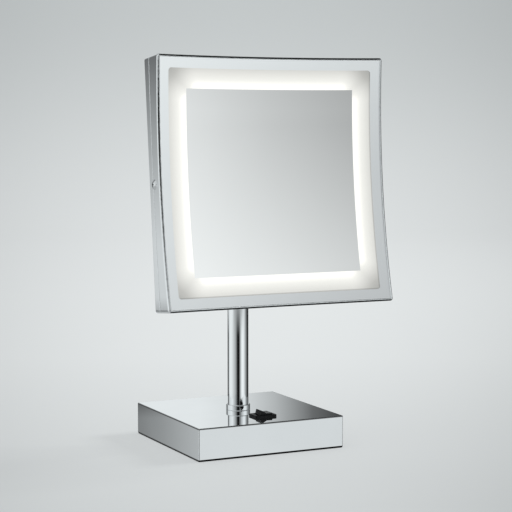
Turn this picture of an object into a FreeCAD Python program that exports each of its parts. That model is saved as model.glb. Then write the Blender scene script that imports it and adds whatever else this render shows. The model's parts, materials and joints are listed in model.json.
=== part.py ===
"""Free-standing lit shaving mirror: a square dished head on a telescopic stem and a square weighted base.

Frame: origin at the centre of the underside, +Z up, the mirror looks along -Y, +X is the mirror's right
edge as its user sees it. All lengths are in millimetres. Each sub-part is written to parts/NODE.step.
"""
import FreeCAD, Part
import math
import os
from FreeCAD import Placement, Rotation, Vector

X, Y, Z = Vector(1, 0, 0), Vector(0, 1, 0), Vector(0, 0, 1)
ORIGIN = Vector(0, 0, 0)

# ---------------------------------------------------------------- driving dimensions
HEAD_SIDE = 215.8          # square mirror head, outside
MIRROR_RADIUS = 750.0      # spherical front, a 3x magnifying mirror
HEAD_EDGE_DEPTH = 30.3     # depth of the head's side at a corner
HEAD_TILT = 6.0            # how far the head leans back at rest, in degrees
BASE_SIDE = 141.4
BASE_TOP = 29.0            # height of the base's top face
PAD_THICK = 1.0
STEM_DIAMETER = 19.0
MAST_DIAMETER = 15.0
PIVOT_FORWARD = 35.0       # tilt axis in front of the stem's axis
PIVOT_HEIGHT = 235.5
PIVOT_TO_MIRROR = 33.7     # tilt axis to the deepest point of the mirror's front
SWITCH_AT = (5.0, -41.0)   # centre of the rocker switch on the base's top
FIT = 0.05                 # radial clearance of a running fit
GAP = 0.1                  # clearance between pieces that are only laid together


# ---------------------------------------------------------------- small helpers
def block(x0, x1, y0, y1, z0, z1):
    """A box from its lowest to its highest corner."""
    return Part.makeBox(x1 - x0, y1 - y0, z1 - z0, Vector(x0, y0, z0))


def square_block(side, z0, z1, corner=0.0):
    """A square prism about the Z axis, with rounded upright corners."""
    h = side / 2
    body = block(-h, h, -h, h, z0, z1)
    return round_upright(body, corner, Z) if corner else body


def round_upright(body, radius, axis):
    """Rounds the straight edges of a body that run along an axis."""
    def runs_along(edge):
        straight = edge.Curve.TypeId == "Part::GeomLine"
        return straight and abs(abs(edge.tangentAt(edge.FirstParameter).dot(axis)) - 1) < 1e-6
    return body.makeFillet(radius, [e for e in body.Edges if runs_along(e)])


def rod(radius, start, end, axis=Z, at=ORIGIN):
    """A solid cylinder from start to end along an axis that passes through a point."""
    return Part.makeCylinder(radius, end - start, at + axis * start, axis)


def ring(outer, inner, start, end, axis=Z, at=ORIGIN):
    """A tube, by its outer and inner radius."""
    return rod(outer, start, end, axis, at).cut(rod(inner, start - 1, end + 1, axis, at))


def hexagon(across_flats, start, end, axis=Z, at=ORIGIN):
    """A hexagonal prism along an axis."""
    side = across_flats / math.sqrt(3)
    turns = [math.radians(60 * k) for k in range(7)]
    corners = [Vector(side * math.cos(turn), side * math.sin(turn), 0) for turn in turns]
    prism = Part.Face(Part.makePolygon(corners)).extrude(Vector(0, 0, end - start))
    prism.Placement = Placement(at + axis * start, Rotation(Z, axis))
    return prism


def domed_head(radius, height, start, axis, at):
    """A low dome whose flat side lies at start and whose top points along the axis."""
    ball = (radius * radius + height * height) / (2 * height)
    dome = Part.makeSphere(ball, at + axis * (start + height - ball))
    return dome.common(rod(radius, start, start + height + 1, axis, at))


def cross_recess(length, width, depth, top, axis, at):
    """The cutter for a cross-slot in a screw head whose top lies at top along the axis."""
    cutter = block(-length / 2, length / 2, -width / 2, width / 2, top - depth, top + 1)
    cutter = cutter.fuse(block(-width / 2, width / 2, -length / 2, length / 2, top - depth, top + 1))
    cutter.Placement = Placement(at, Rotation(Z, axis))
    return cutter


def lead(points, radius, bend=25.0):
    """A cable through points: straight runs joined by arcs as large as the runs and the bend allow."""
    points = [Vector(*p) for p in points]
    edges, here = [], points[0]
    for before, corner, after in zip(points, points[1:], points[2:]):
        back, ahead = (before - corner), (after - corner)
        reach = 0.45 * min(back.Length, ahead.Length)
        back.normalize()
        ahead.normalize()
        half_turn = (math.pi - back.getAngle(ahead)) / 2
        arc_radius = min(bend, reach / math.tan(half_turn))
        reach = arc_radius * math.tan(half_turn)
        start, end = corner + back * reach, corner + ahead * reach
        inward = back + ahead
        inward.normalize()
        middle = corner + inward * (arc_radius / math.cos(half_turn) - arc_radius)
        edges.append(Part.LineSegment(here, start).toShape())
        edges.append(Part.Arc(start, middle, end).toShape())
        here = end
    edges.append(Part.LineSegment(here, points[-1]).toShape())
    path = Part.Wire(edges)
    section = Part.Wire(Part.Circle(points[0], points[1] - points[0], radius).toShape())
    tube = path.makePipeShell([section], True, False)
    expected = math.pi * radius * radius * path.Length
    assert abs(tube.Volume / expected - 1) < 0.02, "the lead's volume is not its section times its length"
    return tube


def one(solids):
    """Several separate solids as one node."""
    return Part.makeCompound(list(solids))


parts = {}

# ---------------------------------------------------------------- base
COVER_WALL, COVER_ROOF = 2.0, 3.0
CEILING = BASE_TOP - COVER_ROOF
PLATE_TOP = PAD_THICK + 2.0
BALLAST_SIDE, BALLAST_BOTTOM = 126.0, 7.0
SCREW_SPAN = 55.0                                    # bottom screws, from each axis
NIPPLE_OUTER, NIPPLE_INNER = 5.0, 3.1
NUT_CEILING = 14.0                                   # the ballast's pocket for nut and washer ends here
SWITCH_X, SWITCH_Y = SWITCH_AT
JACK_HEIGHT, JACK_RADIUS = 15.0, 4.0
REAR_WALL = BASE_SIDE / 2


def corners_of(span, second_span=None):
    """The four corners of a square, or of a rectangle, by its half sides."""
    second_span = second_span or span
    return [(sx * span, sy * second_span) for sx in (-1, 1) for sy in (-1, 1)]


def around_switch(half_x, half_y, z0, z1):
    """A box centred on the rocker switch."""
    return block(SWITCH_X - half_x, SWITCH_X + half_x, SWITCH_Y - half_y, SWITCH_Y + half_y, z0, z1)


def base_cover():
    """Chromed shell, open below, with holes for the stem, the switch and the power socket."""
    shell = square_block(BASE_SIDE, PAD_THICK, BASE_TOP, 0.7)
    top_edges = [e for e in shell.Edges if abs(e.BoundBox.ZMin - BASE_TOP) < 1e-6]
    shell = shell.makeFillet(0.6, top_edges)
    shell = shell.cut(square_block(BASE_SIDE - 2 * COVER_WALL, 0, CEILING))
    shell = shell.cut(rod(NIPPLE_OUTER + 0.2, CEILING - 1, BASE_TOP + 1))
    shell = shell.cut(around_switch(9.7, 7.0, CEILING - 1, BASE_TOP + 1))
    return shell.cut(rod(JACK_RADIUS + GAP, 0, REAR_WALL + 1, Y, Vector(0, 0, JACK_HEIGHT)))


def ballast_block():
    """Cast weight that keeps the mirror from tipping, clamped to the cover by the stem's nipple."""
    cast = square_block(BALLAST_SIDE, BALLAST_BOTTOM, CEILING, 6)
    for x, y in corners_of(SCREW_SPAN):
        cast = cast.fuse(rod(5, PLATE_TOP, BALLAST_BOTTOM + 1, Z, Vector(x, y, 0)))
        cast = cast.cut(rod(2 + FIT, 0, 15, Z, Vector(x, y, 0)))
    cast = cast.cut(rod(NIPPLE_OUTER + 0.2, 0, CEILING + 1))
    cast = cast.cut(rod(15, 0, NUT_CEILING))
    cast = cast.cut(around_switch(14, 11, 0, CEILING + 1))
    return cast.cut(block(-10, 10, 44, BALLAST_SIDE, 0, CEILING + 1))


def bottom_plate():
    plate = square_block(BASE_SIDE - 2 * COVER_WALL - 0.4, PAD_THICK, PLATE_TOP, 1)
    for x, y in corners_of(SCREW_SPAN):
        at = Vector(x, y, PAD_THICK)
        plate = plate.cut(Part.makeCone(4.1, 2.1, 2.0, at))
        plate = plate.cut(rod(2.1, -1, 3, Z, at))
    return plate


def bottom_screws():
    """Four countersunk M4 screws from below into the ballast."""
    screws = []
    for x, y in corners_of(SCREW_SPAN):
        at = Vector(x, y, PAD_THICK)
        screw = Part.makeCone(4.0, 2.0, 2.0, at).fuse(rod(2.0, 1.9, 12, Z, at))
        screws.append(screw.cut(cross_recess(3.6, 0.9, 1.2, 0, Z * -1, at)))
    return one(screws)


parts["base_cover"] = base_cover()
parts["ballast_block"] = ballast_block()
parts["bottom_plate"] = bottom_plate()
parts["bottom_screws"] = bottom_screws()
parts["foot_pad"] = square_block(133, 0, PAD_THICK, 4)

# ---------------------------------------------------------------- power socket and leads in the base
AT_JACK = Vector(0, 0, JACK_HEIGHT)
JACK_BACK, JACK_FRONT, JACK_FLOOR = 57.0, REAR_WALL + 1.8, 61.0


def dc_jack():
    """Panel socket for a 5.5 mm low-voltage plug, with its flange outside the rear wall."""
    body = rod(JACK_RADIUS, JACK_BACK, JACK_FRONT, Y, AT_JACK)
    body = body.fuse(rod(5.6, REAR_WALL, JACK_FRONT, Y, AT_JACK))
    rim = [e for e in body.Edges if abs(e.BoundBox.YMin - JACK_FRONT) < 1e-6]
    body = body.makeFillet(0.5, rim)
    return body.cut(rod(2.9, JACK_FLOOR, JACK_FRONT + 1, Y, AT_JACK))


parts["dc_jack"] = dc_jack()
parts["jack_pin"] = rod(1.05, JACK_FLOOR, REAR_WALL, Y, AT_JACK)
parts["jack_nut"] = hexagon(11, REAR_WALL - COVER_WALL - 2.5, REAR_WALL - COVER_WALL, Y, AT_JACK).cut(
    rod(JACK_RADIUS + 0.02, 50, 75, Y, AT_JACK))

LEAD_LEVEL, LEAD_RADIUS = 5.3, 1.2
NIPPLE_TOP = 46.0
parts["jack_lead"] = lead(
    [(0, JACK_BACK - GAP, JACK_HEIGHT), (0, 52, JACK_HEIGHT), (0, 47, LEAD_LEVEL), (-11, 37, LEAD_LEVEL),
     (-19, 19, LEAD_LEVEL), (-20, -12, LEAD_LEVEL), (-12, -33, LEAD_LEVEL), (-1, -39, LEAD_LEVEL)],
    LEAD_RADIUS)
parts["switch_lead"] = lead(
    [(11.5, -39, LEAD_LEVEL), (13, -27, LEAD_LEVEL), (8, -14, LEAD_LEVEL), (0, -0.3, LEAD_LEVEL), (0, 0, 20),
     (0, 0, NIPPLE_TOP)], LEAD_RADIUS, 5.0)

# ---------------------------------------------------------------- rocker switch
BEZEL_TOP = BASE_TOP + 2.0
ROCKER_PIVOT = Vector(SWITCH_X, SWITCH_Y, BASE_TOP - 2.0)
ROCKER_LEAN = 14.0                                   # the left end stands up at rest
ROCKER_HALF_WIDTH = 5.6


def switch_housing():
    """Snap-in body with a bezel, open on top for the rocker."""
    bezel = round_upright(around_switch(10.5, 7.5, BASE_TOP, BEZEL_TOP), 1.2, Z)
    bezel = bezel.makeFillet(0.6, [e for e in bezel.Edges if abs(e.BoundBox.ZMin - BEZEL_TOP) < 1e-6])
    body = bezel.fuse(around_switch(9.5, 6.8, 14, BASE_TOP))
    body = body.cut(around_switch(7.4, 5.9, 20, BEZEL_TOP + 1))
    body = body.cut(rod(1.2 + FIT, -6.5, 6.5, Y, ROCKER_PIVOT))
    for x in (-4, 4):
        body = body.cut(around_switch(0.4, 2.4, 13, 17).translated(X * x))
    return body


def switch_rocker():
    """V-topped rocker on two side pins, leaning to its on side."""
    right_half = [(0, 3.4), (5.1, 4.8), (5.6, 4.3), (5.6, -0.5), (3.4, -3.5)]
    left_half = [(-x, z) for x, z in reversed(right_half[1:])]
    outline = right_half + left_half
    corners = [Vector(SWITCH_X + x, SWITCH_Y - ROCKER_HALF_WIDTH, BASE_TOP + z) for x, z in outline]
    body = Part.Face(Part.makePolygon(corners + corners[:1])).extrude(Y * (2 * ROCKER_HALF_WIDTH))
    body = body.fuse(rod(1.2, -6.3, 6.3, Y, ROCKER_PIVOT))
    body.rotate(ROCKER_PIVOT, Y, ROCKER_LEAN)
    return body


parts["switch_housing"] = switch_housing()
parts["switch_rocker"] = switch_rocker()
blade = around_switch(0.38, 2.35, 6.6, 16.9)
parts["switch_terminals"] = one(blade.translated(X * x) for x in (-4, 4))

# ---------------------------------------------------------------- fixed stem
STEM_OUTER, STEM_INNER = STEM_DIAMETER / 2, STEM_DIAMETER / 2 - 1.2
MAST_OUTER, MAST_INNER = MAST_DIAMETER / 2, MAST_DIAMETER / 2 - 1.2
FOOT_TOP, SPIGOT_TOP, TUBE_BOTTOM = BASE_TOP + 5.0, 50.0, BASE_TOP + 1.5
STEM_TOP = 164.0
CLAMP_BOTTOM, CLAMP_TOP, CLAMP_RADIUS, CLAMP_LEVEL = 148.0, 168.0, 12.0, 156.0
AT_CLAMP = Vector(0, 0, CLAMP_LEVEL)


def stem_foot():
    """Turned foot: a low collar that hides the tube's end, and a spigot inside the tube."""
    foot = rod(11, BASE_TOP, FOOT_TOP)
    foot = foot.makeFillet(0.5, [e for e in foot.Edges if abs(e.BoundBox.ZMin - FOOT_TOP) < 1e-6])
    foot = foot.fuse(rod(STEM_INNER - GAP, BASE_TOP, SPIGOT_TOP))
    foot = foot.cut(ring(STEM_OUTER + FIT, STEM_INNER - GAP, TUBE_BOTTOM, FOOT_TOP + 1))
    return foot.cut(rod(NIPPLE_OUTER + 0.02, 0, SPIGOT_TOP + 1))


def clamp_collar():
    """Collar on the top of the stem. Its cross screw grips the mast."""
    collar = rod(CLAMP_RADIUS, CLAMP_BOTTOM, CLAMP_TOP)
    rims = [e for e in collar.Edges if e.BoundBox.ZLength < 1e-6]
    collar = collar.makeFillet(1.0, rims)
    collar = collar.fuse(rod(5, 8, 14, Y, AT_CLAMP))
    collar = collar.cut(rod(STEM_OUTER + 0.02, CLAMP_BOTTOM - 1, STEM_TOP))
    collar = collar.cut(rod(MAST_OUTER + 0.3, STEM_TOP - 1, CLAMP_TOP + 1))
    return collar.cut(rod(2.5 + FIT, 5, 16, Y, AT_CLAMP))


def clamp_screw():
    """Thumb screw with a knurled head."""
    head = rod(6.5, 14.2, 23, Y, AT_CLAMP)
    head = head.makeFillet(0.7, [e for e in head.Edges if e.BoundBox.YLength < 1e-6])
    for k in range(24):
        angle = math.radians(15 * k)
        groove_at = AT_CLAMP + Vector(6.75 * math.cos(angle), 0, 6.75 * math.sin(angle))
        head = head.cut(rod(0.55, 15.4, 21.8, Y, groove_at))
    return head.fuse(rod(2.5, 10.1, 15, Y, AT_CLAMP))


parts["stem_nipple"] = ring(NIPPLE_OUTER, NIPPLE_INNER, 7.5, NIPPLE_TOP)
parts["nipple_washer"] = ring(12, NIPPLE_OUTER + GAP, 12.5, NUT_CEILING)
parts["nipple_nut"] = hexagon(17, 8, 12.5).cut(rod(NIPPLE_OUTER + 0.02, 0, 20))
parts["stem_foot"] = stem_foot()
parts["stem_tube"] = ring(STEM_OUTER, STEM_INNER, TUBE_BOTTOM, STEM_TOP).cut(rod(2.7, 0, 12, Y, AT_CLAMP))
guide_bush = ring(STEM_INNER - 0.02, MAST_OUTER + FIT, CLAMP_BOTTOM - 4, STEM_TOP - GAP)
parts["guide_bush"] = guide_bush.cut(rod(2.6, 0, 12, Y, AT_CLAMP))
parts["clamp_collar"] = clamp_collar()
parts["clamp_pad"] = rod(2.4, 6, 10, Y, AT_CLAMP).cut(rod(MAST_OUTER + FIT, 140, 170))
parts["clamp_screw"] = clamp_screw()

# ---------------------------------------------------------------- telescopic mast
MAST_BOTTOM, MAST_TOP, PLUG_BOTTOM, SPINDLE_TOP = 54.0, 222.0, 206.0, 237.0
SWIVEL_SEAT, NUT_SEAT = 224.5, 233.5                  # the turret turns between these two faces
parts["mast_tube"] = ring(MAST_OUTER, MAST_INNER, MAST_BOTTOM, MAST_TOP)
parts["mast_piston"] = ring(STEM_INNER - FIT, MAST_OUTER, MAST_BOTTOM, MAST_BOTTOM + 9)
parts["stem_lead"] = ring(4.6, 2.4, NIPPLE_TOP + GAP, PLUG_BOTTOM - GAP)


def mast_plug():
    """Turned plug in the mast's top, with a flange and the hollow spindle that the swivel turns on."""
    flange = rod(10, MAST_TOP, SWIVEL_SEAT)
    flange = flange.makeFillet(0.5, [e for e in flange.Edges if e.BoundBox.ZLength < 1e-6])
    plug = flange.fuse(rod(MAST_INNER - 0.02, PLUG_BOTTOM, MAST_TOP + 1))
    plug = plug.fuse(rod(4, SWIVEL_SEAT - 1, SPINDLE_TOP))
    return plug.cut(rod(2.3, PLUG_BOTTOM - 1, SPINDLE_TOP + 1))


parts["mast_plug"] = mast_plug()
parts["swivel_washer"] = ring(9.8, 4 + GAP, SWIVEL_SEAT, SWIVEL_SEAT + 0.8)
parts["spindle_washer"] = ring(6.5, 4 + FIT, NUT_SEAT + FIT, NUT_SEAT + 0.8)
parts["spindle_nut"] = hexagon(11, NUT_SEAT + 0.8, SPINDLE_TOP).cut(rod(4.02, 230, 250))

# ---------------------------------------------------------------- swivel
SWIVEL_BOTTOM, SWIVEL_TOP, SWIVEL_RADIUS = SWIVEL_SEAT + 0.8 + FIT, 250.0, 10.5
PIVOT = Vector(0, -PIVOT_FORWARD, PIVOT_HEIGHT)
EYE_RADIUS, EYE_HALF_WIDTH, BOLT_RADIUS, ARM_RADIUS = 9.0, 5.0, 3.0, 7.4
CHANNEL_HEIGHT, CHANNEL_RADIUS = PIVOT_HEIGHT + 5.0, 1.6     # the lead's bore through the arm, above the bolt
EYE_FRONT = PIVOT_FORWARD + EYE_RADIUS


def swivel_body():
    """Turret on the spindle, with a short bored arm that ends in the eye of the tilt hinge."""
    arm_at = Vector(0, 0, PIVOT_HEIGHT)
    turret = rod(SWIVEL_RADIUS, SWIVEL_BOTTOM, SWIVEL_TOP)
    turret = turret.makeFillet(0.4, [e for e in turret.Edges if abs(e.BoundBox.ZMax - SWIVEL_BOTTOM) < 1e-6])
    turret = turret.fuse(rod(ARM_RADIUS, 6, PIVOT_FORWARD - 10.3, Y * -1, arm_at))
    neck = rod(ARM_RADIUS, 20, PIVOT_FORWARD, Y * -1, arm_at).common(
        block(-EYE_HALF_WIDTH, EYE_HALF_WIDTH, -PIVOT_FORWARD, 0, PIVOT_HEIGHT - 9, PIVOT_HEIGHT + 9))
    turret = turret.fuse(neck).fuse(rod(EYE_RADIUS, -EYE_HALF_WIDTH, EYE_HALF_WIDTH, X, PIVOT))
    turret = turret.cut(rod(4 + FIT, 200, 260)).cut(rod(7.5, NUT_SEAT, 260))
    turret = turret.cut(rod(CHANNEL_RADIUS, 5, EYE_FRONT + 1, Y * -1, Vector(0, 0, CHANNEL_HEIGHT)))
    return turret.cut(rod(BOLT_RADIUS + FIT, -20, 20, X, PIVOT))


def swivel_cap():
    """Low domed cap that closes the turret."""
    dome = domed_head(SWIVEL_RADIUS, 2.4, SWIVEL_TOP, Z, ORIGIN)
    return dome.fuse(rod(7.45, SWIVEL_TOP - 3, SWIVEL_TOP))


parts["swivel_body"] = swivel_body()
parts["swivel_cap"] = swivel_cap()
arm_route = [(0, 0, PLUG_BOTTOM), (0, 0, CHANNEL_HEIGHT), (0, -EYE_FRONT, CHANNEL_HEIGHT)]
parts["arm_lead"] = lead(arm_route, LEAD_RADIUS, 4.5)

# ---------------------------------------------------------------- mirror head
# Built upright about the tilt axis: x to the right, z up, and depth n measured forward (along -Y).
HALF = HEAD_SIDE / 2
SAG_AT_CORNER = HALF * HALF / MIRROR_RADIUS
BACK = PIVOT_TO_MIRROR + SAG_AT_CORNER - HEAD_EDGE_DEPTH
WALL, LIP_WIDTH, LIP_THICK, GLASS_THICK = 1.5, 2.3, 1.0, 4.0
LIP_ROUND, RIM_ROUND = 2.0, 0.6                       # the lip's outer edge, the back shell's front edge
FLOOR = BACK + 2.0
SEAM_RADIUS, SEAM_DEPTH = 2400.0, BACK + 6.1          # the seam round the side bows less than the front
GLASS_FRONT = LIP_THICK + FIT                         # depth behind the lip's face
GLASS_REAR = GLASS_FRONT + GLASS_THICK
TRAY_OUTER, TRAY_WALL, TRAY_OPENING = 103.2, 99.0, 76.0


def slab(u, v, n0, n1, at_u=0.0, at_v=0.0):
    """A box of half sizes u by v, from depth n0 to n1 in front of the tilt axis."""
    return block(at_u - u, at_u + u, -n1, -n0, at_v - v, at_v + v)


def frame_of(outer, inner, n0, n1):
    """A square frame by its outer and inner half side."""
    return slab(outer, outer, n0, n1).cut(slab(inner, inner, n0 - 1, n1 + 1))


def dish(behind, radius=MIRROR_RADIUS, depth=PIVOT_TO_MIRROR):
    """The ball whose surface lies a distance behind a concave spherical face."""
    return Part.makeSphere(radius + behind, Vector(0, -(depth + radius), 0))


def forward_rod(radius, n0, n1, u=0.0, v=0.0):
    return rod(radius, n0, n1, Y * -1, Vector(u, 0, v))


def sideways(sign):
    return X * sign


SCREW_DEPTH = (BACK + PIVOT_TO_MIRROR + HALF * HALF / (2 * MIRROR_RADIUS)) / 2   # middle of the side
AT_SIDE_SCREW = Vector(0, -SCREW_DEPTH, 0)
BRACKET_HALF, BRACKET_THICK, BRACKET_HOLES = 19.0, 3.0, 14.0
EAR_INNER, EAR_FACE = EYE_HALF_WIDTH + 0.6, EYE_HALF_WIDTH + 5.0
PLATE_FRONT = FLOOR + 1.5
LEAD_SLOT = slab(2.2, 5.5, 10, 30, 0, 3.5)            # the lead's way into the head, behind the hinge
SLOT_DEPTH, SLOT_V = BACK - BRACKET_THICK, 4.0        # where the lead enters it


def rear_housing():
    """Square back shell with a tongue on each side for the side screws."""
    shell = round_upright(slab(HALF, HALF, BACK, 60), 2.2, Y)
    back_edges = [e for e in shell.Edges if abs(e.BoundBox.YMin + BACK) < 1e-6 and e.BoundBox.YLength < 1e-6]
    shell = shell.makeFillet(1.2, back_edges)
    shell = shell.cut(dish(0, SEAM_RADIUS, SEAM_DEPTH))
    shell = shell.makeFillet(RIM_ROUND, [e for e in shell.Edges if e.BoundBox.YMax < -(SEAM_DEPTH - 0.5)])
    shell = shell.cut(slab(HALF - WALL, HALF - WALL, FLOOR, 70))
    for side in (-1, 1):
        shell = shell.fuse(slab(1.1, 12, FLOOR - 0.5, 26, side * (HALF - WALL - 0.9)))
        shell = shell.fuse(slab(1.0, 12, FLOOR - 0.5, 33.8, side * (HALF - WALL - GAP - 1.0)))
        shell = shell.cut(rod(2.15, HALF - 8, HALF + 2, sideways(side), AT_SIDE_SCREW))
    for u, v in corners_of(BRACKET_HOLES):
        shell = shell.cut(forward_rod(2.15, BACK - 1, FLOOR + 1, u, v))
    return shell.cut(LEAD_SLOT)


def front_frame():
    """Chromed front frame: four side walls and a narrow lip that follows the dished front."""
    body = round_upright(slab(HALF, HALF, 15, 60), 2.2, Y)
    body = body.common(dish(0, SEAM_RADIUS, SEAM_DEPTH + 0.35)).cut(dish(0))
    front = [e for e in body.Edges if e.BoundBox.YMin < -(PIVOT_TO_MIRROR + 6) and e.BoundBox.YMax < -38]
    body = body.makeFillet(LIP_ROUND, front)
    behind_lip = slab(HALF - WALL, HALF - WALL, 10, 70).cut(dish(LIP_THICK))
    body = body.cut(behind_lip)
    body = body.cut(slab(HALF - LIP_WIDTH, HALF - LIP_WIDTH, 10, 70))
    for side in (-1, 1):
        body = body.cut(rod(2.15, HALF - 8, HALF + 2, sideways(side), AT_SIDE_SCREW))
    return body


def mirror_glass():
    half = HALF - WALL - 0.2
    return slab(half, half, 20, 60).common(dish(GLASS_REAR)).cut(dish(GLASS_FRONT))


def glass_gasket():
    strip = frame_of(HALF - WALL - 0.5, 99.5, 15, 60)
    return strip.common(dish(GLASS_REAR + 1.5)).cut(dish(GLASS_REAR + FIT))


def light_diffuser():
    return frame_of(98.8, TRAY_OPENING, 15, 60).common(dish(GLASS_REAR + 2.0)).cut(dish(GLASS_REAR + FIT))


def reflector_tray():
    """White tray: the light chamber's floor, an outer wall below the gasket, an inner wall for the boards."""
    floor = frame_of(TRAY_OUTER, TRAY_OPENING, FLOOR + FIT, FLOOR + 1.3)
    outer = frame_of(TRAY_OUTER, TRAY_WALL, FLOOR + 1.0, 60).cut(dish(GLASS_REAR + 1.55))
    inner = frame_of(TRAY_OPENING + 1.5, TRAY_OPENING, FLOOR + 1.0, 60).cut(dish(GLASS_REAR + 2.05))
    tray = floor.fuse(outer).fuse(inner)
    for side in (-1, 1):
        tray = tray.cut(slab(2.2, 13, FLOOR + 1.3, 60, side * (TRAY_OUTER - 1.2)))
    return tray


BOARD_LENGTH, BOARD_THICK, CHIP_COUNT, CHIP_PITCH = 138.0, 1.2, 11, 12.0
BOARD_AT = TRAY_OPENING + 1.5 + FIT


def led_board(turn):
    """A light strip that stands against the tray's inner wall and faces outward, turned about the middle."""
    board = slab(BOARD_THICK / 2, BOARD_LENGTH / 2, FLOOR + 1.4, FLOOR + 8.0, BOARD_AT + BOARD_THICK / 2)
    board.rotate(ORIGIN, Y, turn)
    return board


def led_chips():
    chips = []
    for turn in (0, 90, 180, 270):
        for k in range(CHIP_COUNT):
            along = (k - (CHIP_COUNT - 1) / 2) * CHIP_PITCH
            chip = slab(0.4, 1.75, FLOOR + 3.4, FLOOR + 6.2, BOARD_AT + BOARD_THICK + 0.4, along)
            chip.rotate(ORIGIN, Y, turn)
            chips.append(chip)
    return one(chips)


DRIVER_V, DRIVER_REAR = 52.0, FLOOR + 3.0


def board_standoffs():
    return one(forward_rod(2.5, FLOOR, DRIVER_REAR, u, DRIVER_V + v) for u, v in corners_of(28, 13))


def driver_components():
    """Coil, capacitors, controller and terminal block of the light's driver."""
    top = DRIVER_REAR + 1.6
    coil = forward_rod(4.5, top, top + 2.6, 12, DRIVER_V + 2)
    capacitors = [forward_rod(2.5, top, top + 2.8, u, DRIVER_V + 8) for u in (-4, -10)]
    controller = slab(2.5, 2, top, top + 1.3, 0, DRIVER_V - 4)
    terminals = slab(4, 3, top, top + 2.6, -24, DRIVER_V - 8)
    return one([coil, *capacitors, controller, terminals])


def side_screw(side):
    """Pan-headed screw through the frame into the threaded block behind the tongue."""
    axis = sideways(side)
    screw = domed_head(4.4, 2.0, HALF, axis, AT_SIDE_SCREW)
    screw = screw.fuse(rod(2.0, HALF - 6.2, HALF + 0.1, axis, AT_SIDE_SCREW))
    return screw.cut(cross_recess(4.2, 0.9, 1.1, HALF + 2.0, axis, AT_SIDE_SCREW))


def side_block(side):
    centre = HALF - WALL - GAP - 2.0 - 1.5 - FIT
    hole = rod(2.02, HALF - 20, HALF + 2, sideways(side), AT_SIDE_SCREW)
    return slab(1.5, 5, 25, 33.0, side * centre).cut(hole)


def support_plate():
    plate = round_upright(slab(35, 35, FLOOR, PLATE_FRONT), 4, Y)
    for u, v in corners_of(BRACKET_HOLES):
        plate = plate.cut(forward_rod(2.02, 0, 40, u, v))
    return plate.cut(LEAD_SLOT)


def tilt_bracket():
    """Plate on the head's back with two ears that hold the tilt bolt."""
    rear = BACK - BRACKET_THICK
    plate = round_upright(slab(BRACKET_HALF, BRACKET_HALF, rear, BACK), 4, Y)
    for side in (-1, 1):
        ear = slab((EAR_FACE - EAR_INNER) / 2, EYE_RADIUS, 0, rear + 1, side * (EAR_FACE + EAR_INNER) / 2)
        ear = ear.fuse(rod(EYE_RADIUS, EAR_INNER, EAR_FACE, sideways(side)))
        plate = plate.fuse(ear)
    for u, v in corners_of(BRACKET_HOLES):
        plate = plate.cut(forward_rod(2.15, 0, 40, u, v))
    return plate.cut(rod(BOLT_RADIUS + 0.02, -20, 20, X)).cut(LEAD_SLOT)


def bracket_screw(u, v):
    under_head = BACK - BRACKET_THICK
    at = Vector(u, -under_head, v)
    head = domed_head(3.6, 2.4, 0, Y, at)
    screw = head.fuse(forward_rod(2.0, under_head - 0.1, PLATE_FRONT + 1.0, u, v))
    return screw.cut(cross_recess(3.6, 0.9, 1.2, 2.4, Y, at))


def tilt_bolt():
    """Socket-headed bolt through both ears."""
    head = rod(6, EAR_FACE, EAR_FACE + 4.5, X * -1)
    head = head.makeFillet(0.6, [e for e in head.Edges if abs(e.BoundBox.XMax + EAR_FACE + 4.5) < 1e-6])
    bolt = head.fuse(rod(BOLT_RADIUS, -EAR_FACE - 1, EAR_FACE + 4, X))
    return bolt.cut(hexagon(4, EAR_FACE + 2, EAR_FACE + 6, X * -1))


def tilt_nut():
    """Domed nut on the bolt's end."""
    nut = hexagon(10, EAR_FACE, EAR_FACE + 4, X).fuse(domed_head(4.6, 3.4, EAR_FACE + 4, X, ORIGIN))
    return nut.cut(rod(BOLT_RADIUS + 0.02, 0, EAR_FACE + 4.1, X))


def tilt_washer(side):
    return ring(8.0, BOLT_RADIUS + GAP, EYE_HALF_WIDTH + FIT, EAR_INNER - FIT, sideways(side))


def mirror_pads():
    """Foam pads that carry the middle of the glass."""
    return one(slab(6, 6, PLATE_FRONT, 50, u, v).cut(dish(GLASS_REAR + FIT)) for u, v in corners_of(26))


def head_lead():
    """The lead inside the head, from the slot behind the hinge to the driver's terminal block."""
    behind_glass, over_board = -(PLATE_FRONT + 2.2), -(PLATE_FRONT + 4.6)
    return lead([(0, -SLOT_DEPTH, SLOT_V), (0, behind_glass, SLOT_V), (-9, behind_glass, 18),
                 (-14, over_board, 30.5), (-22, over_board, 36), (-24, over_board, DRIVER_V - 12)],
                LEAD_RADIUS)


head = {
    "rear_housing": rear_housing(),
    "front_frame": front_frame(),
    "mirror_glass": mirror_glass(),
    "glass_gasket": glass_gasket(),
    "light_diffuser": light_diffuser(),
    "reflector_tray": reflector_tray(),
    "led_board_right": led_board(0),
    "led_board_bottom": led_board(90),
    "led_board_left": led_board(180),
    "led_board_top": led_board(270),
    "led_chips": led_chips(),
    "driver_board": slab(32, 17, DRIVER_REAR, DRIVER_REAR + 1.6, 0, DRIVER_V),
    "driver_components": driver_components(),
    "board_standoffs": board_standoffs(),
    "support_plate": support_plate(),
    "mirror_pads": mirror_pads(),
    "head_lead": head_lead(),
    "side_blocks": one(side_block(s) for s in (-1, 1)),
    "side_screws": one(side_screw(s) for s in (-1, 1)),
    "tilt_bracket": tilt_bracket(),
    "bracket_screws": one(bracket_screw(u, v) for u, v in corners_of(BRACKET_HOLES)),
    "tilt_bolt": tilt_bolt(),
    "tilt_nut": tilt_nut(),
    "tilt_washers": one(tilt_washer(s) for s in (-1, 1)),
}
for name, shape in head.items():
    shape.rotate(ORIGIN, X, -HEAD_TILT)
    shape.translate(PIVOT)
    parts[name] = shape

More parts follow.
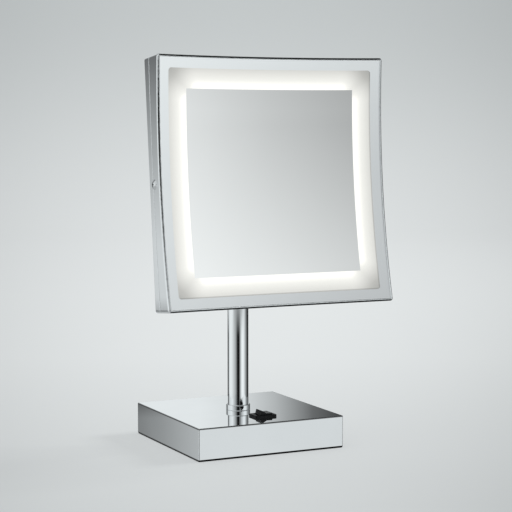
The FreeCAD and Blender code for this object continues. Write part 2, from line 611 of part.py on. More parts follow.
eye_mouth = Vector(0, -EYE_FRONT, CHANNEL_HEIGHT)
slot_mouth = PIVOT + Rotation(X, -HEAD_TILT).multVec(Vector(0, -SLOT_DEPTH, SLOT_V))
free_run = slot_mouth - eye_mouth
parts["hinge_lead"] = rod(LEAD_RADIUS, 0.3, free_run.Length - 0.3, free_run.normalize(), eye_mouth)

# ---------------------------------------------------------------- write the files
os.makedirs("parts", exist_ok=True)
for name, shape in parts.items():
    assert shape.isValid(), name
    for solid in shape.Solids:
        assert solid.isClosed() and solid.Volume > 0, name
    shape.exportStep(f"parts/{name}.step")
print(len(parts), "sub-parts written")
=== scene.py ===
"""Looks of the lit shaving mirror: materials, mirror glass, foot pad, leads, studio and camera.

Everything is in metres in the CAD frame: +Z up, the mirror looks along -Y.
"""
import json
import math

import bmesh
import bpy
from mathutils import Matrix, Vector


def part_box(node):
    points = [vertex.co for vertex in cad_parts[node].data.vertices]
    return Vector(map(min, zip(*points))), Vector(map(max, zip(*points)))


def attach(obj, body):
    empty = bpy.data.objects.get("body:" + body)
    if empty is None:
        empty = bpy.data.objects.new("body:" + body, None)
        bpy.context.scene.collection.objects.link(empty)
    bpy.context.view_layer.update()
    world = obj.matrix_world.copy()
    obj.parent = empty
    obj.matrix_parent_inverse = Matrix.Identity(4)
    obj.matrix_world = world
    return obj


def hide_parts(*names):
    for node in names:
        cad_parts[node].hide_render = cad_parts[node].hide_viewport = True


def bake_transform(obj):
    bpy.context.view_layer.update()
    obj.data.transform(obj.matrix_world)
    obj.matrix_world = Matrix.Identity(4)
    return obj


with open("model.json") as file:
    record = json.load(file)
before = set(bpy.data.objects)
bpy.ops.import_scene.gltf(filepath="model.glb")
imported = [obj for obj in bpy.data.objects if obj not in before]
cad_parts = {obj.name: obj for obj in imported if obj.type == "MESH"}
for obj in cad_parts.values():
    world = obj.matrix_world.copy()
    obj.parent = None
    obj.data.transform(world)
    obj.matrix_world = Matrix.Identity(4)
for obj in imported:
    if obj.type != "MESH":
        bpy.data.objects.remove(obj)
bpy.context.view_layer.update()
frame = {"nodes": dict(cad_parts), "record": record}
nodes = frame["nodes"]
MM = 0.001

# ---------------------------------------------------------------- camera
camera_data = bpy.data.cameras.new("camera")
camera_data.lens, camera_data.sensor_width = 109.53, 36.0
camera = bpy.data.objects.new("camera", camera_data)
camera.location = (-0.6042, -1.2758, 0.2905)
camera.rotation_euler = (math.radians(90 - 4.89), 0, math.radians(-26.01))
bpy.context.scene.collection.objects.link(camera)
bpy.context.scene.camera = camera
bpy.context.scene.view_settings.view_transform = "Standard"


# ---------------------------------------------------------------- node helpers
class Nodes:
    """Builds a node tree in short calls, most of which return the new node's output socket."""

    def __init__(self, tree):
        self.tree = tree
        tree.nodes.clear()

    def new(self, kind, **settings):
        node = self.tree.nodes.new(kind)
        for name, value in settings.items():
            setattr(node, name, value)
        return node

    def put(self, socket, value):
        """Links an output to a socket, or sets a plain value on it."""
        if isinstance(value, bpy.types.NodeSocket):
            self.tree.links.new(value, socket)
        elif value is not None:
            socket.default_value = value

    def math(self, operation, a, b=None):
        node = self.new("ShaderNodeMath", operation=operation)
        self.put(node.inputs[0], a)
        self.put(node.inputs[1], b)
        return node.outputs[0]

    def step(self, value, low, high):
        """Smooth 0 to 1 between two values."""
        node = self.new("ShaderNodeMapRange", interpolation_type="SMOOTHSTEP")
        for socket, setting in zip(node.inputs, (value, low, high)):
            self.put(socket, setting)
        return node.outputs[0]

    def scale(self, value, low, high):
        """Maps 0 to 1 onto a range."""
        node = self.new("ShaderNodeMapRange")
        self.put(node.inputs[0], value)
        node.inputs[3].default_value, node.inputs[4].default_value = low, high
        return node.outputs[0]

    def mix(self, factor, a, b):
        node = self.new("ShaderNodeMix", data_type="RGBA")
        for socket, setting in zip((node.inputs[0], node.inputs[6], node.inputs[7]), (factor, a, b)):
            self.put(socket, setting)
        return node.outputs[2]

    def ramp(self, value, stops):
        """Colour ramp of (place, grey level or colour) stops."""
        node = self.new("ShaderNodeValToRGB")
        elements = node.color_ramp.elements
        while len(elements) < len(stops):
            elements.new(0.5)
        for element, (place, level) in zip(elements, stops):
            element.position = place
            element.color = rgba(level)
        self.put(node.inputs[0], value)
        return node.outputs[0]

    def split(self, vector):
        """The three parts of a vector."""
        node = self.new("ShaderNodeSeparateXYZ")
        self.put(node.inputs[0], vector)
        return node.outputs

    def place(self):
        """The point's place in the piece's own coordinates, in metres."""
        return self.new("ShaderNodeTexCoord").outputs["Object"]

    def plan(self):
        """The point's place across and up the head in millimetres, from the glass pieces' UV map."""
        across, up, _ = self.split(self.new("ShaderNodeUVMap", uv_map="plan").outputs[0])
        return across, up

    def multiplied(self, colour, factor):
        """A colour times a colour or a grey level."""
        node = self.new("ShaderNodeMixRGB", blend_type="MULTIPLY")
        for socket, setting in zip(node.inputs, (1.0, colour, factor)):
            self.put(socket, setting)
        return node.outputs[0]

    def noise(self, size_mm, detail=3.0, stretch=(1, 1, 1)):
        """Noise whose features are about size_mm across, in the piece's own coordinates."""
        mapping = self.new("ShaderNodeMapping")
        self.put(mapping.inputs["Vector"], self.place())
        mapping.inputs["Scale"].default_value = stretch
        node = self.new("ShaderNodeTexNoise")
        self.put(node.inputs["Vector"], mapping.outputs[0])
        node.inputs["Scale"].default_value = 1000.0 / size_mm
        node.inputs["Detail"].default_value = detail
        return node.outputs[0]

    def bump(self, height, depth_mm):
        node = self.new("ShaderNodeBump")
        node.inputs["Distance"].default_value = depth_mm * MM
        self.put(node.inputs["Height"], height)
        return node.outputs[0]

    def rounded(self, radius_mm):
        """The surface's direction with its sharp edges eased to a radius."""
        node = self.new("ShaderNodeBevel", samples=6)
        node.inputs["Radius"].default_value = radius_mm * MM
        return node.outputs[0]

    def height_mm(self):
        """Height above the table in millimetres, for a piece that stands on it."""
        return self.math("MULTIPLY", self.split(self.place())[2], 1000.0)

    def upward(self):
        """How far the surface faces up: 1 for a level top, 0 for an upright side."""
        return self.split(self.new("ShaderNodeNewGeometry").outputs["Normal"])[2]

    def surface(self, **inputs):
        """A Principled shader on the material's output."""
        shader = self.new("ShaderNodeBsdfPrincipled")
        for name, value in inputs.items():
            self.put(shader.inputs[name.replace("_", " ")], value)
        output = self.new("ShaderNodeOutputMaterial")
        self.tree.links.new(shader.outputs[0], output.inputs[0])


def rgba(level):
    return (level, level, level, 1) if isinstance(level, (int, float)) else (*level, 1)


def material(name):
    made = bpy.data.materials.new(name)
    made.use_nodes = True
    return made, Nodes(made.node_tree)


# ---------------------------------------------------------------- materials
def chrome(name, tint, roughness, eased_mm=None, painted_lines_mm=None):
    """Bright plating with hair-fine wipe marks and a trace of handling haze.

    eased_mm eases the sharp edges' shading. The last argument gives the height of a black foot line's top,
    and of a dark shoulder line's bottom, on a piece that stands on the table. Both lines are painted: the
    foot line is painted shade for the shadow gap over the pad, and the shoulder line is a painted dark
    reflection.
    """
    made, n = material(name)
    haze = n.noise(30.0, 5.0)
    wipes = n.noise(0.7, 2.0, (1, 1, 8))
    dull = n.math("MULTIPLY", n.step(haze, 0.54, 0.78), 0.018)
    rough = n.math("ADD", n.math("MULTIPLY", wipes, 0.010), n.math("ADD", dull, roughness))
    colour = n.mix(n.step(haze, 0.3, 0.8), rgba(tint), rgba([c * 0.975 for c in tint]))
    if painted_lines_mm:
        foot, shoulder = painted_lines_mm
        height = n.height_mm()
        # Painted shade: black below the foot line, for the shadow gap over the pad. Painted dark reflection:
        # a dark line on the top edge's rounding above the shoulder height, but not on the level top.
        colour = n.mix(n.step(height, foot, foot + 0.25), rgba(0.01), colour)
        turned = n.math("MULTIPLY", n.step(height, shoulder, shoulder + 0.3), n.step(n.upward(), 0.7, 0.3))
        colour = n.mix(turned, colour, rgba(0.17))
    facing = n.rounded(eased_mm) if eased_mm else None
    n.surface(Base_Color=colour, Metallic=1.0, Roughness=rough, Normal=facing)
    return made


def worked_metal(name, light, dark, roughness, grain_mm, stretch=(1, 1, 1), depth_mm=0.01, metallic=1.0):
    """Turned, plated or cast metal: two tones in a stretched grain with a shallow relief."""
    made, n = material(name)
    grain = n.noise(grain_mm, 4.0, stretch)
    blotch = n.noise(grain_mm * 14, 3.0)
    colour = n.mix(n.math("MULTIPLY", n.math("ADD", grain, blotch), 0.5), rgba(dark), rgba(light))
    rough = n.scale(grain, roughness - 0.08, roughness + 0.08)
    n.surface(Base_Color=colour, Metallic=metallic, Roughness=rough, Normal=n.bump(grain, depth_mm))
    return made


def moulded(name, colour, roughness, grain_mm=0.35, depth_mm=0.012, specular=0.5, shade=0.8):
    """Moulded plastic or rubber with a fine spark-eroded grain and faint tone drift."""
    made, n = material(name)
    grain = n.noise(grain_mm, 3.0)
    drift = n.noise(18.0, 2.0)
    tone = n.mix(n.step(drift, 0.35, 0.7), rgba([c * shade for c in colour]), rgba(colour))
    n.surface(Base_Color=tone, Roughness=n.scale(grain, roughness - 0.05, roughness + 0.06),
              Normal=n.bump(grain, depth_mm), Specular_IOR_Level=specular)
    return made


def lit(name, colour, glow, strength):
    """A moulded piece that also glows, a little unevenly."""
    made, n = material(name)
    cloud = n.noise(9.0, 2.0)
    n.surface(Base_Color=n.mix(cloud, rgba([c * 0.92 for c in colour]), rgba(colour)), Roughness=0.5,
              Emission_Color=rgba(glow), Emission_Strength=n.scale(cloud, strength * 0.9, strength * 1.1))
    return made


def circuit_board(name):
    """White solder resist with faint copper tracks underneath."""
    made, n = material(name)
    tracks = n.new("ShaderNodeTexBrick")
    tracks.inputs["Scale"].default_value = 180.0
    tracks.inputs["Mortar Size"].default_value = 0.06
    n.put(tracks.inputs["Vector"], n.place())
    colour = n.mix(tracks.outputs["Fac"], rgba((0.82, 0.83, 0.80)), rgba((0.70, 0.66, 0.52)))
    n.surface(Base_Color=colour, Roughness=0.35, Normal=n.bump(tracks.outputs["Fac"], 0.02))
    return made


def mixed_parts(name):
    """Small electronic parts: each solid takes its own tone."""
    made, n = material(name)
    own = n.new("ShaderNodeNewGeometry").outputs["Random Per Island"]
    colour = n.ramp(own, [(0.0, (0.02, 0.02, 0.025)), (0.35, (0.05, 0.05, 0.05)),
                          (0.6, (0.03, 0.10, 0.05)), (1.0, (0.35, 0.34, 0.32))])
    n.surface(Base_Color=colour, Roughness=n.scale(n.noise(0.5), 0.25, 0.5))
    return made


CHROME_TINT, CHROME_ROUGHNESS = (0.90, 0.915, 0.925), 0.022
looks = {
    "chrome": chrome("polished_chrome", CHROME_TINT, CHROME_ROUGHNESS, eased_mm=0.9),
    "chromed_fasteners": chrome("chromed_screw", (0.80, 0.81, 0.82), 0.05),
    "plated_steel": worked_metal("zinc_plate", (0.66, 0.67, 0.69), (0.50, 0.51, 0.52), 0.32, 1.2),
    "cast_ballast": worked_metal("cast_iron", (0.10, 0.10, 0.105), (0.05, 0.05, 0.05), 0.62, 1.6,
                                 depth_mm=0.15, metallic=0.4),
    "brass_fittings": worked_metal("turned_brass", (0.78, 0.62, 0.32), (0.60, 0.45, 0.20), 0.25, 0.4,
                                   (1, 1, 6)),
    "foot_rubber": moulded("foot_rubber", (0.007, 0.007, 0.008), 0.78, 0.8, 0.05, specular=0.08),
    "seal_rubber": moulded("seal_foam", (0.04, 0.04, 0.042), 0.85, 0.5, 0.08),
    "black_gloss": moulded("gloss_black", (0.006, 0.006, 0.007), 0.24, 0.5, 0.002, specular=0.22),
    "black_plastic": moulded("matt_black", (0.007, 0.007, 0.008), 0.34, 0.35, 0.01, specular=0.22),
    "lead_sheath": moulded("lead_sheath", (0.022, 0.022, 0.024), 0.48, 0.6, 0.01),
    "slide_plastic": moulded("acetal", (0.80, 0.80, 0.76), 0.36, 0.5, 0.006, shade=0.93),
    "opal_plastic": lit("opal_diffuser", (0.93, 0.92, 0.88), (1.0, 0.96, 0.88), 0.8),
    "white_plastic": moulded("white_tray", (0.86, 0.86, 0.85), 0.45, 0.5, 0.01, shade=0.95),
    "board_laminate": circuit_board("board_laminate"),
    "light_chips": lit("light_phosphor", (0.95, 0.80, 0.35), (1.0, 0.88, 0.66), 6.0),
    "driver_parts": mixed_parts("driver_parts"),
    "mirror_silver": chrome("mirror_back", (0.5, 0.5, 0.5), 0.2),
}
for entry in frame["record"]["subparts"]:
    mesh = nodes[entry["node"]].data
    mesh.materials.clear()
    mesh.materials.append(looks[entry["material_slot"]])
# The base's cover has a painted black line where it meets the pad, painted shade for the shadow gap there,
# and a painted dark line along its top edge, a painted dark reflection.
FOOT_SHADE_TOP, SHOULDER_REFLECTION_BOTTOM = 1.6, 27.7
base_look = chrome("base_chrome", CHROME_TINT, CHROME_ROUGHNESS, 1.0, (FOOT_SHADE_TOP, SHOULDER_REFLECTION_BOTTOM))
nodes["base_cover"].data.materials[0] = base_look


# ---------------------------------------------------------------- the mirror glass
HEAD_SIDE, MIRROR_RADIUS, TILT = 215.8 * MM, 750 * MM, math.radians(6.0)
PIVOT = Vector((0, -35 * MM, 235.5 * MM))
PIVOT_TO_MIRROR, LIP, GLASS_THICK = 33.7 * MM, 1.05 * MM, 4.0 * MM
GLASS_HALF = HEAD_SIDE / 2 - 1.7 * MM
BAND_OUTER, BAND_INNER, BAND_CORNER = 96.9 * MM, 79.9 * MM, 2.6 * MM
HEAD_FRAME = Matrix.Translation(PIVOT) @ Matrix.Rotation(-TILT, 4, "X")


def on_sphere(u, v, behind):
    """A point a distance behind the dished front, given its place across and up the head."""
    depth = PIVOT_TO_MIRROR + MIRROR_RADIUS - math.sqrt((MIRROR_RADIUS + behind) ** 2 - u * u - v * v)
    return HEAD_FRAME @ Vector((u, -depth, v))


def rounded_square(half, corner, steps=8, per_side=40):
    """Points round a square with rounded corners, the same number for any size."""
    points = []
    centre = half - corner
    for k in range(4):
        turn = Matrix.Rotation(k * math.pi / 2, 2)
        for i in range(per_side):
            along = -1 + 2 * i / per_side
            points.append(turn @ Vector((half, along * centre)))
        for i in range(steps):
            angle = math.pi / 2 * i / steps
            bend = Vector((math.cos(angle), math.sin(angle)))
            points.append(turn @ (Vector((centre, centre)) + bend * corner))
    return points


def grid_patch(half, cells):
    """Plan points and faces of a square grid."""
    side = [half * (2 * i / cells - 1) for i in range(cells + 1)]
    points = [Vector((u, v)) for v in side for u in side]
    row = cells + 1
    corners = [r * row + c for r in range(cells) for c in range(cells)]
    return points, [(k, k + 1, k + row + 1, k + row) for k in corners]


def ring_patch(outer, inner, rings):
    """Plan points and faces between two loops of as many points."""
    count = len(outer)
    points = [outer[k].lerp(inner[k], r / rings) for r in range(rings + 1) for k in range(count)]
    faces = []
    for r in range(rings):
        for k in range(count):
            j = (k + 1) % count
            faces.append((r * count + k, r * count + j, (r + 1) * count + j, (r + 1) * count + k))
    return points, faces


def dished_slab(name, plan, look):
    """A closed glass slab behind the dished front, with its place across and up the head as its UV map."""
    points, faces = plan
    mesh = bpy.data.meshes.new(name)
    shape = bmesh.new()
    place = shape.loops.layers.uv.new("plan")
    near = [shape.verts.new(on_sphere(*p, LIP)) for p in points]
    far = [shape.verts.new(on_sphere(*p, LIP + GLASS_THICK)) for p in points]
    for face in faces:
        for verts in ([near[i] for i in face], [far[i] for i in reversed(face)]):
            shape.faces.new(verts).smooth = True
    rims = [e for e in shape.edges if e.is_boundary]
    count = len(points)
    shape.verts.index_update()
    for edge in rims:
        a, b = edge.verts
        if a.index < count and b.index < count:
            shape.faces.new((a, b, far[b.index], far[a.index]))
        edge.smooth = False
    shape.verts.index_update()
    for face in shape.faces:
        for loop in face.loops:
            u, v = points[loop.vert.index % count]
            loop[place].uv = (u / MM, v / MM)
    bmesh.ops.recalc_face_normals(shape, faces=shape.faces)
    shape.to_mesh(mesh)
    shape.free()
    mesh.materials.append(look)
    made = bpy.data.objects.new(name, mesh)
    bpy.context.scene.collection.objects.link(made)
    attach(made, "head")
    return made


def silvered(name, tint, roughness, smear):
    """Silvered glass with the faintest wiped smears."""
    made, n = material(name)
    wiped = n.noise(22.0, 5.0, (1, 1, 0.5))
    rough = n.math("ADD", n.math("MULTIPLY", n.step(wiped, 0.5, 0.8), smear), roughness)
    colour = n.mix(wiped, rgba([c * 0.985 for c in tint]), rgba(tint))
    n.surface(Base_Color=colour, Metallic=1.0, Roughness=rough)
    return made


def frosted():
    """Etched glass lit from its inner edge: the glow fades outward and in the corners, past the light strips.

    All distances are in millimetres.
    """
    strip_half_length, corner_blend, glow_reach = 69.0, 3.0, 40.0
    edge_shade_from, edge_shade_to = 95.6, 96.2
    made, n = material("frosted_glass")
    place_across, place_up = n.plan()
    across, up = n.math("ABSOLUTE", place_across), n.math("ABSOLUTE", place_up)

    def from_strip(away, along):
        """Distance from a light strip that runs along one side of the mirror."""
        out = n.math("MAXIMUM", n.math("SUBTRACT", away, BAND_INNER / MM), 0.0)
        beyond = n.math("MAXIMUM", n.math("SUBTRACT", along, strip_half_length), 0.0)
        return n.math("SQRT", n.math("ADD", n.math("POWER", out, 2.0), n.math("POWER", beyond, 2.0)))

    distance = n.math("SMOOTH_MIN", from_strip(across, up), from_strip(up, across))
    distance.node.inputs[2].default_value = corner_blend
    glow = n.ramp(n.math("DIVIDE", distance, glow_reach),
                  [(0.0, (1.12, 1.10, 1.04)), (0.10, (1.08, 1.06, 0.99)), (0.20, (0.84, 0.83, 0.78)),
                   (0.40, (0.61, 0.60, 0.565)), (0.62, (0.345, 0.335, 0.31)), (1.0, (0.10, 0.097, 0.09))])
    grain = n.noise(0.25, 2.0)
    # Painted shade: a thin darker line along the band's right and bottom outer edges, where the glass's own
    # thickness shades it.
    right_edge_shade = n.step(place_across, edge_shade_from, edge_shade_to)
    bottom_edge_shade = n.step(n.math("MULTIPLY", place_up, -1.0), edge_shade_from, edge_shade_to)
    edge = n.math("MULTIPLY", n.math("MAXIMUM", right_edge_shade, bottom_edge_shade), 0.35)
    n.surface(Base_Color=n.mix(edge, rgba((0.42, 0.42, 0.41)), rgba(0.1)), Roughness=0.55,
              Normal=n.bump(grain, 0.01), Emission_Color=n.mix(edge, glow, rgba(0.05)), Emission_Strength=0.8)
    return made


def satin_rim():
    """Satin silvered rim with a painted glow for the light it picks up from the light strips, slightly more
    toward the top.
    """
    made, n = material("mirror_margin")
    half_height = 105.0
    rise = n.math("DIVIDE", n.math("ADD", n.plan()[1], half_height), 2 * half_height)
    cloud = n.noise(14.0, 3.0)
    # Painted light: the rim is no lamp, but glows, more toward its top.
    glow = n.ramp(rise, [(0.0, (0.255, 0.265, 0.27)), (0.5, (0.285, 0.30, 0.305)),
                         (1.0, (0.39, 0.41, 0.415))])
    n.surface(Base_Color=n.mix(cloud, rgba((0.56, 0.57, 0.575)), rgba((0.59, 0.60, 0.605))), Metallic=1.0,
              Roughness=n.scale(cloud, 0.26, 0.32), Emission_Color=glow, Emission_Strength=1.0)
    return made


square_of_band = rounded_square(BAND_INNER, 0.05 * MM)
band_outline = rounded_square(BAND_OUTER, BAND_CORNER)
glass_outline = rounded_square(GLASS_HALF, 0.8 * MM)
silver = silvered("mirror_centre", (0.955, 0.945, 0.935), 0.004, 0.01)
mirror_centre = dished_slab("mirror_centre", grid_patch(BAND_INNER, 64), silver)
dished_slab("frosted_band", ring_patch(band_outline, square_of_band, 6), frosted())
dished_slab("mirror_margin", ring_patch(glass_outline, band_outline, 4), satin_rim())
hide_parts("mirror_glass")


# ---------------------------------------------------------------- foot pad
def ribbed_foot_pad():
    """Rubber pad that reaches almost to the base's edge, with a moulded groove round its side."""
    low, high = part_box("base_cover")
    half, top = (high.x - low.x) / 2 - 0.1 * MM, low.z
    levels = [(0.30, 0.0), (0.0, 0.25), (0.0, 0.45), (0.12, 0.55), (0.0, 0.65), (0.0, 0.95), (0.25, 1.0)]
    shape = bmesh.new()
    loops = []
    for inset, part_way in levels:
        plan = rounded_square(half - inset * MM, 1.5 * MM, 6, 12)
        loops.append([shape.verts.new((p.x, p.y, top * part_way)) for p in plan])
    for ring_a, ring_b in zip(loops, loops[1:]):
        for k in range(len(ring_a)):
            j = (k + 1) % len(ring_a)
            shape.faces.new((ring_a[k], ring_a[j], ring_b[j], ring_b[k]))
    shape.faces.new(loops[0])
    shape.faces.new(loops[-1])
    bmesh.ops.recalc_face_normals(shape, faces=shape.faces)
    mesh = bpy.data.meshes.new("foot_pad_rubber")
    shape.to_mesh(mesh)
    shape.free()
    mesh.materials.append(looks["foot_rubber"])
    pad = bpy.data.objects.new("foot_pad_rubber", mesh)
    bpy.context.scene.collection.objects.link(pad)
    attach(pad, "base")
    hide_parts("foot_pad")


ribbed_foot_pad()


# ---------------------------------------------------------------- flexible leads
def tube(name, path, radius, look, sides=12):
    """A round tube along a list of points, with smooth sides and closed ends."""
    shape = bmesh.new()
    rings = []
    side = Vector((1, 0, 0))
    for k, here in enumerate(path):
        ahead = (path[min(k + 1, len(path) - 1)] - path[max(k - 1, 0)]).normalized()
        side = (side - ahead * side.dot(ahead)).normalized()
        up = ahead.cross(side)
        turns = [2 * math.pi * i / sides for i in range(sides)]
        rings.append([shape.verts.new(here + (side * math.cos(t) + up * math.sin(t)) * radius)
                      for t in turns])
    for ring_a, ring_b in zip(rings, rings[1:]):
        for i in range(sides):
            j = (i + 1) % sides
            shape.faces.new((ring_a[i], ring_a[j], ring_b[j], ring_b[i])).smooth = True
    shape.faces.new(rings[0])
    shape.faces.new(rings[-1])
    bmesh.ops.recalc_face_normals(shape, faces=shape.faces)
    mesh = bpy.data.meshes.new(name)
    shape.to_mesh(mesh)
    shape.free()
    mesh.materials.append(look)
    made = bpy.data.objects.new(name, mesh)
    bpy.context.scene.collection.objects.link(made)
    return made


def coiled_stem_lead():
    """The spring-coiled lead inside the telescopic stem. On the real mirror it stretches as the mast pulls
    out; here it is a fixed coil.
    """
    low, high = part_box("stem_lead")
    bottom, top = low.z + 1.2 * MM, high.z - 1.2 * MM
    turns, per_turn, mean_radius = 64, 20, 3.5 * MM
    steps = turns * per_turn
    path = []
    for k in range(steps + 1):
        angle = 2 * math.pi * k / per_turn
        height = bottom + (top - bottom) * k / steps
        path.append(Vector((mean_radius * math.cos(angle), mean_radius * math.sin(angle), height)))
    coil = tube("stem_lead_coil", path, 1.05 * MM, looks["lead_sheath"], 8)
    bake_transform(coil)
    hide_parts("stem_lead")


def flexing_hinge_lead():
    """The short free stretch of lead between the arm and the head."""
    low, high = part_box("hinge_lead")
    start = Vector((0, high.y, low.z + 1.2 * MM))
    end = Vector((0, low.y, high.z - 1.2 * MM))
    path = [start.lerp(end, k / 24) for k in range(25)]
    piece = tube("hinge_lead_sheath", path, 1.18 * MM, looks["lead_sheath"], 20)
    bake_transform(piece)
    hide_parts("hinge_lead")


coiled_stem_lead()
flexing_hinge_lead()


# ---------------------------------------------------------------- studio
def environment():
    """What the chrome and the mirror see: grey levels by azimuth at five heights and overhead.

    Azimuth 0 is in front of the mirror, and + is toward +X. Many stops were worked out from tones
    read off the photograph, and the rest were tried until the render agreed. Rays that aren't reflections
    see one even grey.
    """
    world = bpy.data.worlds.new("studio")
    bpy.context.scene.world = world
    world.use_nodes = True
    n = Nodes(world.node_tree)
    x, y, z = n.split(n.new("ShaderNodeTexCoord").outputs["Generated"])
    azimuth = n.math("ARCTAN2", x, n.math("MULTIPLY", y, -1.0))
    turn = n.math("ADD", n.math("DIVIDE", azimuth, 2 * math.pi), 0.5)
    height = n.math("MULTIPLY", n.math("ARCSINE", z), 180 / math.pi)

    def around(levels):
        return n.ramp(turn, [((azimuth_deg + 180) / 360, level) for azimuth_deg, level in levels])

    bottom = around([
        (-180, 0.08), (-165, 0.10), (-160.5, 0.14), (-158.2, 0.205), (-157.2, 0.37), (-156.3, 0.48),
        (-154, 0.52), (-137, 0.60), (-116, 0.75), (-92, 0.65), (-60, 0.40), (-46, 0.23), (-36, 0.06),
        (-29, 0.003), (-15, 0.003), (-5, 0.17), (5, 0.50), (16, 0.70), (26, 0.755), (38, 0.72),
        (50, 0.50), (65, 0.31), (82, 0.13), (103, 0.025), (135, 0.04), (180, 0.08)])
    low = around([
        (-180, 0.03), (-165, 0.03), (-156, 0.08), (-150, 0.35), (-145, 0.62), (-137, 0.76), (-116, 0.94),
        (-92, 0.82), (-60, 0.50), (-46, 0.30), (-36, 0.07), (-29, 0.003), (-15, 0.003), (-5, 0.20),
        (5, 0.62), (16, 0.90), (26, 1.00), (38, 0.94), (50, 0.70), (65, 0.42), (82, 0.18), (103, 0.02),
        (135, 0.03), (180, 0.03)])
    middle = around([
        (-180, 0.55), (-160, 0.66), (-137, 0.85), (-88, 0.92), (-70, 0.50), (-60, 0.42), (-10, 0.45),
        (4, 0.40), (10, 0.35), (17, 0.36), (26, 0.49), (38, 0.67), (55, 0.60), (70, 0.20), (95, 0.03),
        (150, 0.03), (176, 0.08), (180, 0.55)])
    upper = around([
        (-180, 0.05), (-160, 0.15), (-148, 0.18), (-137, 0.75), (-90, 0.92), (-76, 0.30), (-66, 0.006),
        (3, 0.006), (10, 0.42), (17, 0.46), (26, 0.60), (38, 0.84), (55, 0.80), (70, 0.20), (95, 0.02),
        (150.5, 0.03), (151.3, 0.055), (152.4, 0.24), (153.5, 0.55), (154.2, 0.72), (156, 0.84),
        (170, 0.80), (180, 0.05)])
    high = around([
        (-180, 0.30), (-150, 0.10), (-137, 0.75), (-90, 0.92), (-60, 0.48), (-46, 0.28), (-36, 0.07),
        (-29, 0.003), (-16, 0.003), (-5, 0.20), (4, 0.48), (10, 0.55), (17, 0.66), (26, 0.80), (38, 0.96),
        (55, 0.90), (80, 0.30), (130, 0.05), (150.5, 0.03), (151.3, 0.055), (152.4, 0.24),
        (153.5, 0.55), (154.2, 0.72), (156, 0.84), (170, 0.88), (180, 0.50)])
    dome = around([
        (-180, 0.25), (-150, 0.25), (-120, 0.80), (-60, 0.55), (0, 0.50), (60, 0.70), (120, 0.45),
        (150, 0.25), (180, 0.25)])
    outside_mirror_view = around([(-10, 1.0), (4, 0.0), (45, 0.0), (60, 1.0)])
    flagged_side = around([(-6, 0.0), (6, 1.0), (140, 1.0), (150, 0.0)])

    def rise(start, end):
        """A straight blend between two heights in degrees."""
        ramp = n.new("ShaderNodeMapRange")
        n.put(ramp.inputs[0], height)
        ramp.inputs[1].default_value, ramp.inputs[2].default_value = start, end
        return ramp.outputs[0]

    level = n.mix(rise(-10.8, -9.9), bottom, low)
    level = n.mix(rise(-7.8, -6.4), level, middle)
    level = n.mix(rise(-4.5, 2.6), level, upper)
    to_high = n.mix(outside_mirror_view, rise(4.0, 16.0), rise(5.0, 9.5))
    level = n.mix(to_high, level, high)
    level = n.mix(n.math("MULTIPLY", rise(12.5, 20.0), outside_mirror_view), level, dome)
    # Black flags overhead and underneath on the +X side, and a white ceiling at the very top.
    level = n.mix(n.math("MULTIPLY", rise(21.0, 25.0), flagged_side), level, rgba(0.015))
    level = n.mix(rise(72.0, 80.0), level, rgba(0.85))
    open_side = n.math("SUBTRACT", 1.0, flagged_side)
    level = n.mix(n.math("MULTIPLY", rise(-14.0, -24.0), open_side), level, rgba(0.5))
    level = n.mix(n.math("MULTIPLY", rise(-24.0, -30.0), flagged_side), level, rgba(0.01))
    reflected = n.multiplied(level, (0.955, 1.0, 1.01, 1))
    is_reflection = n.new("ShaderNodeLightPath").outputs["Is Glossy Ray"]
    seen = n.mix(is_reflection, rgba((0.70, 0.715, 0.72)), reflected)
    background = n.new("ShaderNodeBackground")
    n.put(background.inputs[0], seen)
    output = n.new("ShaderNodeOutputWorld")
    n.tree.links.new(background.outputs[0], output.inputs[0])


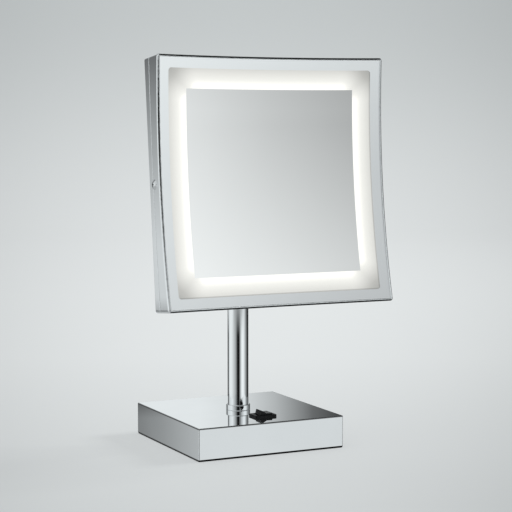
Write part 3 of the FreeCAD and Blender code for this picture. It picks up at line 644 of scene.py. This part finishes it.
def paper():
    """Seamless paper with a painted glow that stands in for the studio's light: brightest on the floor behind
    the object, falling off upward and sideways.

    depth and side are metres along and across the photo's line of sight, a fixed direction in the room.
    """
    made, n = material("backdrop_paper")
    x, y, z = n.split(n.place())
    sight_x, sight_y = 0.43, 0.90
    ramp_start, ramp_length = 0.3, 4.0
    middle_offset, viewpoint_back, falloff, most_loss = 0.015, 1.45, 8.0, 0.3
    depth = n.math("ADD", n.math("MULTIPLY", x, sight_x), n.math("MULTIPLY", y, sight_y))
    side = n.math("SUBTRACT", n.math("MULTIPLY", x, sight_y), n.math("MULTIPLY", y, sight_x))
    along = n.math("DIVIDE", n.math("ADD", depth, ramp_start), ramp_length)
    # Painted light: brightest on the floor behind the object, darker up the wall and out to the sides.
    floor_painted_light = n.ramp(along, [
        (0.0, (0.58, 0.60, 0.605)), (0.06, (0.66, 0.68, 0.685)), (0.2, (0.77, 0.79, 0.795)),
        (0.36, (0.79, 0.81, 0.815)), (0.65, (0.80, 0.82, 0.825)), (0.9, (0.78, 0.80, 0.805))])
    tone = n.mix(n.step(z, -0.1, 0.72), floor_painted_light, rgba((0.50, 0.525, 0.53)))
    distance = n.math("MAXIMUM", n.math("ADD", depth, viewpoint_back), 1.0)
    spread = n.math("DIVIDE", n.math("ADD", side, middle_offset), distance)
    loss = n.math("MINIMUM", n.math("MULTIPLY", n.math("POWER", spread, 2.0), falloff), most_loss)
    glow = n.multiplied(tone, n.math("SUBTRACT", 1.0, loss))
    n.surface(Base_Color=rgba((0.30, 0.31, 0.31)), Roughness=n.scale(n.noise(3.0), 0.8, 0.9),
              Emission_Color=glow, Emission_Strength=0.685, Specular_IOR_Level=0.0)
    return made


def ring_sweep(name, profile, look):
    """A surface of revolution about the stem's axis, from (radius, height) points."""
    mesh = bpy.data.meshes.new(name)
    shape = bmesh.new()
    sides, rings = 128, []
    turns = [2 * math.pi * k / sides for k in range(sides)]
    for radius, z in profile:
        rings.append([shape.verts.new((radius * math.cos(t), radius * math.sin(t), z)) for t in turns])
    for inner, outer in zip(rings, rings[1:]):
        for k in range(sides):
            shape.faces.new((inner[k], outer[k], outer[(k + 1) % sides], inner[(k + 1) % sides]))
    shape.faces.new(rings[0])
    shape.to_mesh(mesh)
    shape.free()
    for face in mesh.polygons:
        face.use_smooth = True
    mesh.materials.append(look)
    made = bpy.data.objects.new(name, mesh)
    bpy.context.scene.collection.objects.link(made)
    return made


def studio():
    """Paper floor that curves up into a wall all round, unseen in reflections."""
    curve_radius, floor_radius, wall_top, steps = 1.0, 2.6, 4.0, 12
    turns = [math.pi / 2 * k / steps for k in range(steps + 1)]
    curve = [(floor_radius + curve_radius * math.sin(t), curve_radius * (1 - math.cos(t))) for t in turns]
    wall = (floor_radius + curve_radius, wall_top)
    sweep = ring_sweep("backdrop", [(0.001, 0), (0.3, 0), (1.2, 0), *curve, wall], paper())
    sweep.visible_glossy = False


def softbox(name, location, aim, size, power):
    """A rectangular lamp pointed at a place, unseen in reflections."""
    data = bpy.data.lights.new(name, "AREA")
    data.shape, data.size, data.size_y, data.energy = "RECTANGLE", size[0], size[1], power
    lamp = bpy.data.objects.new(name, data)
    lamp.location = location
    lamp.rotation_euler = (Vector(aim) - Vector(location)).to_track_quat("-Z", "Y").to_euler()
    lamp.visible_glossy = False
    bpy.context.scene.collection.objects.link(lamp)


environment()
studio()
softbox("side_light", (2.6, -0.2, 1.7), (0, 0, 0), (1.0, 1.0), 46)
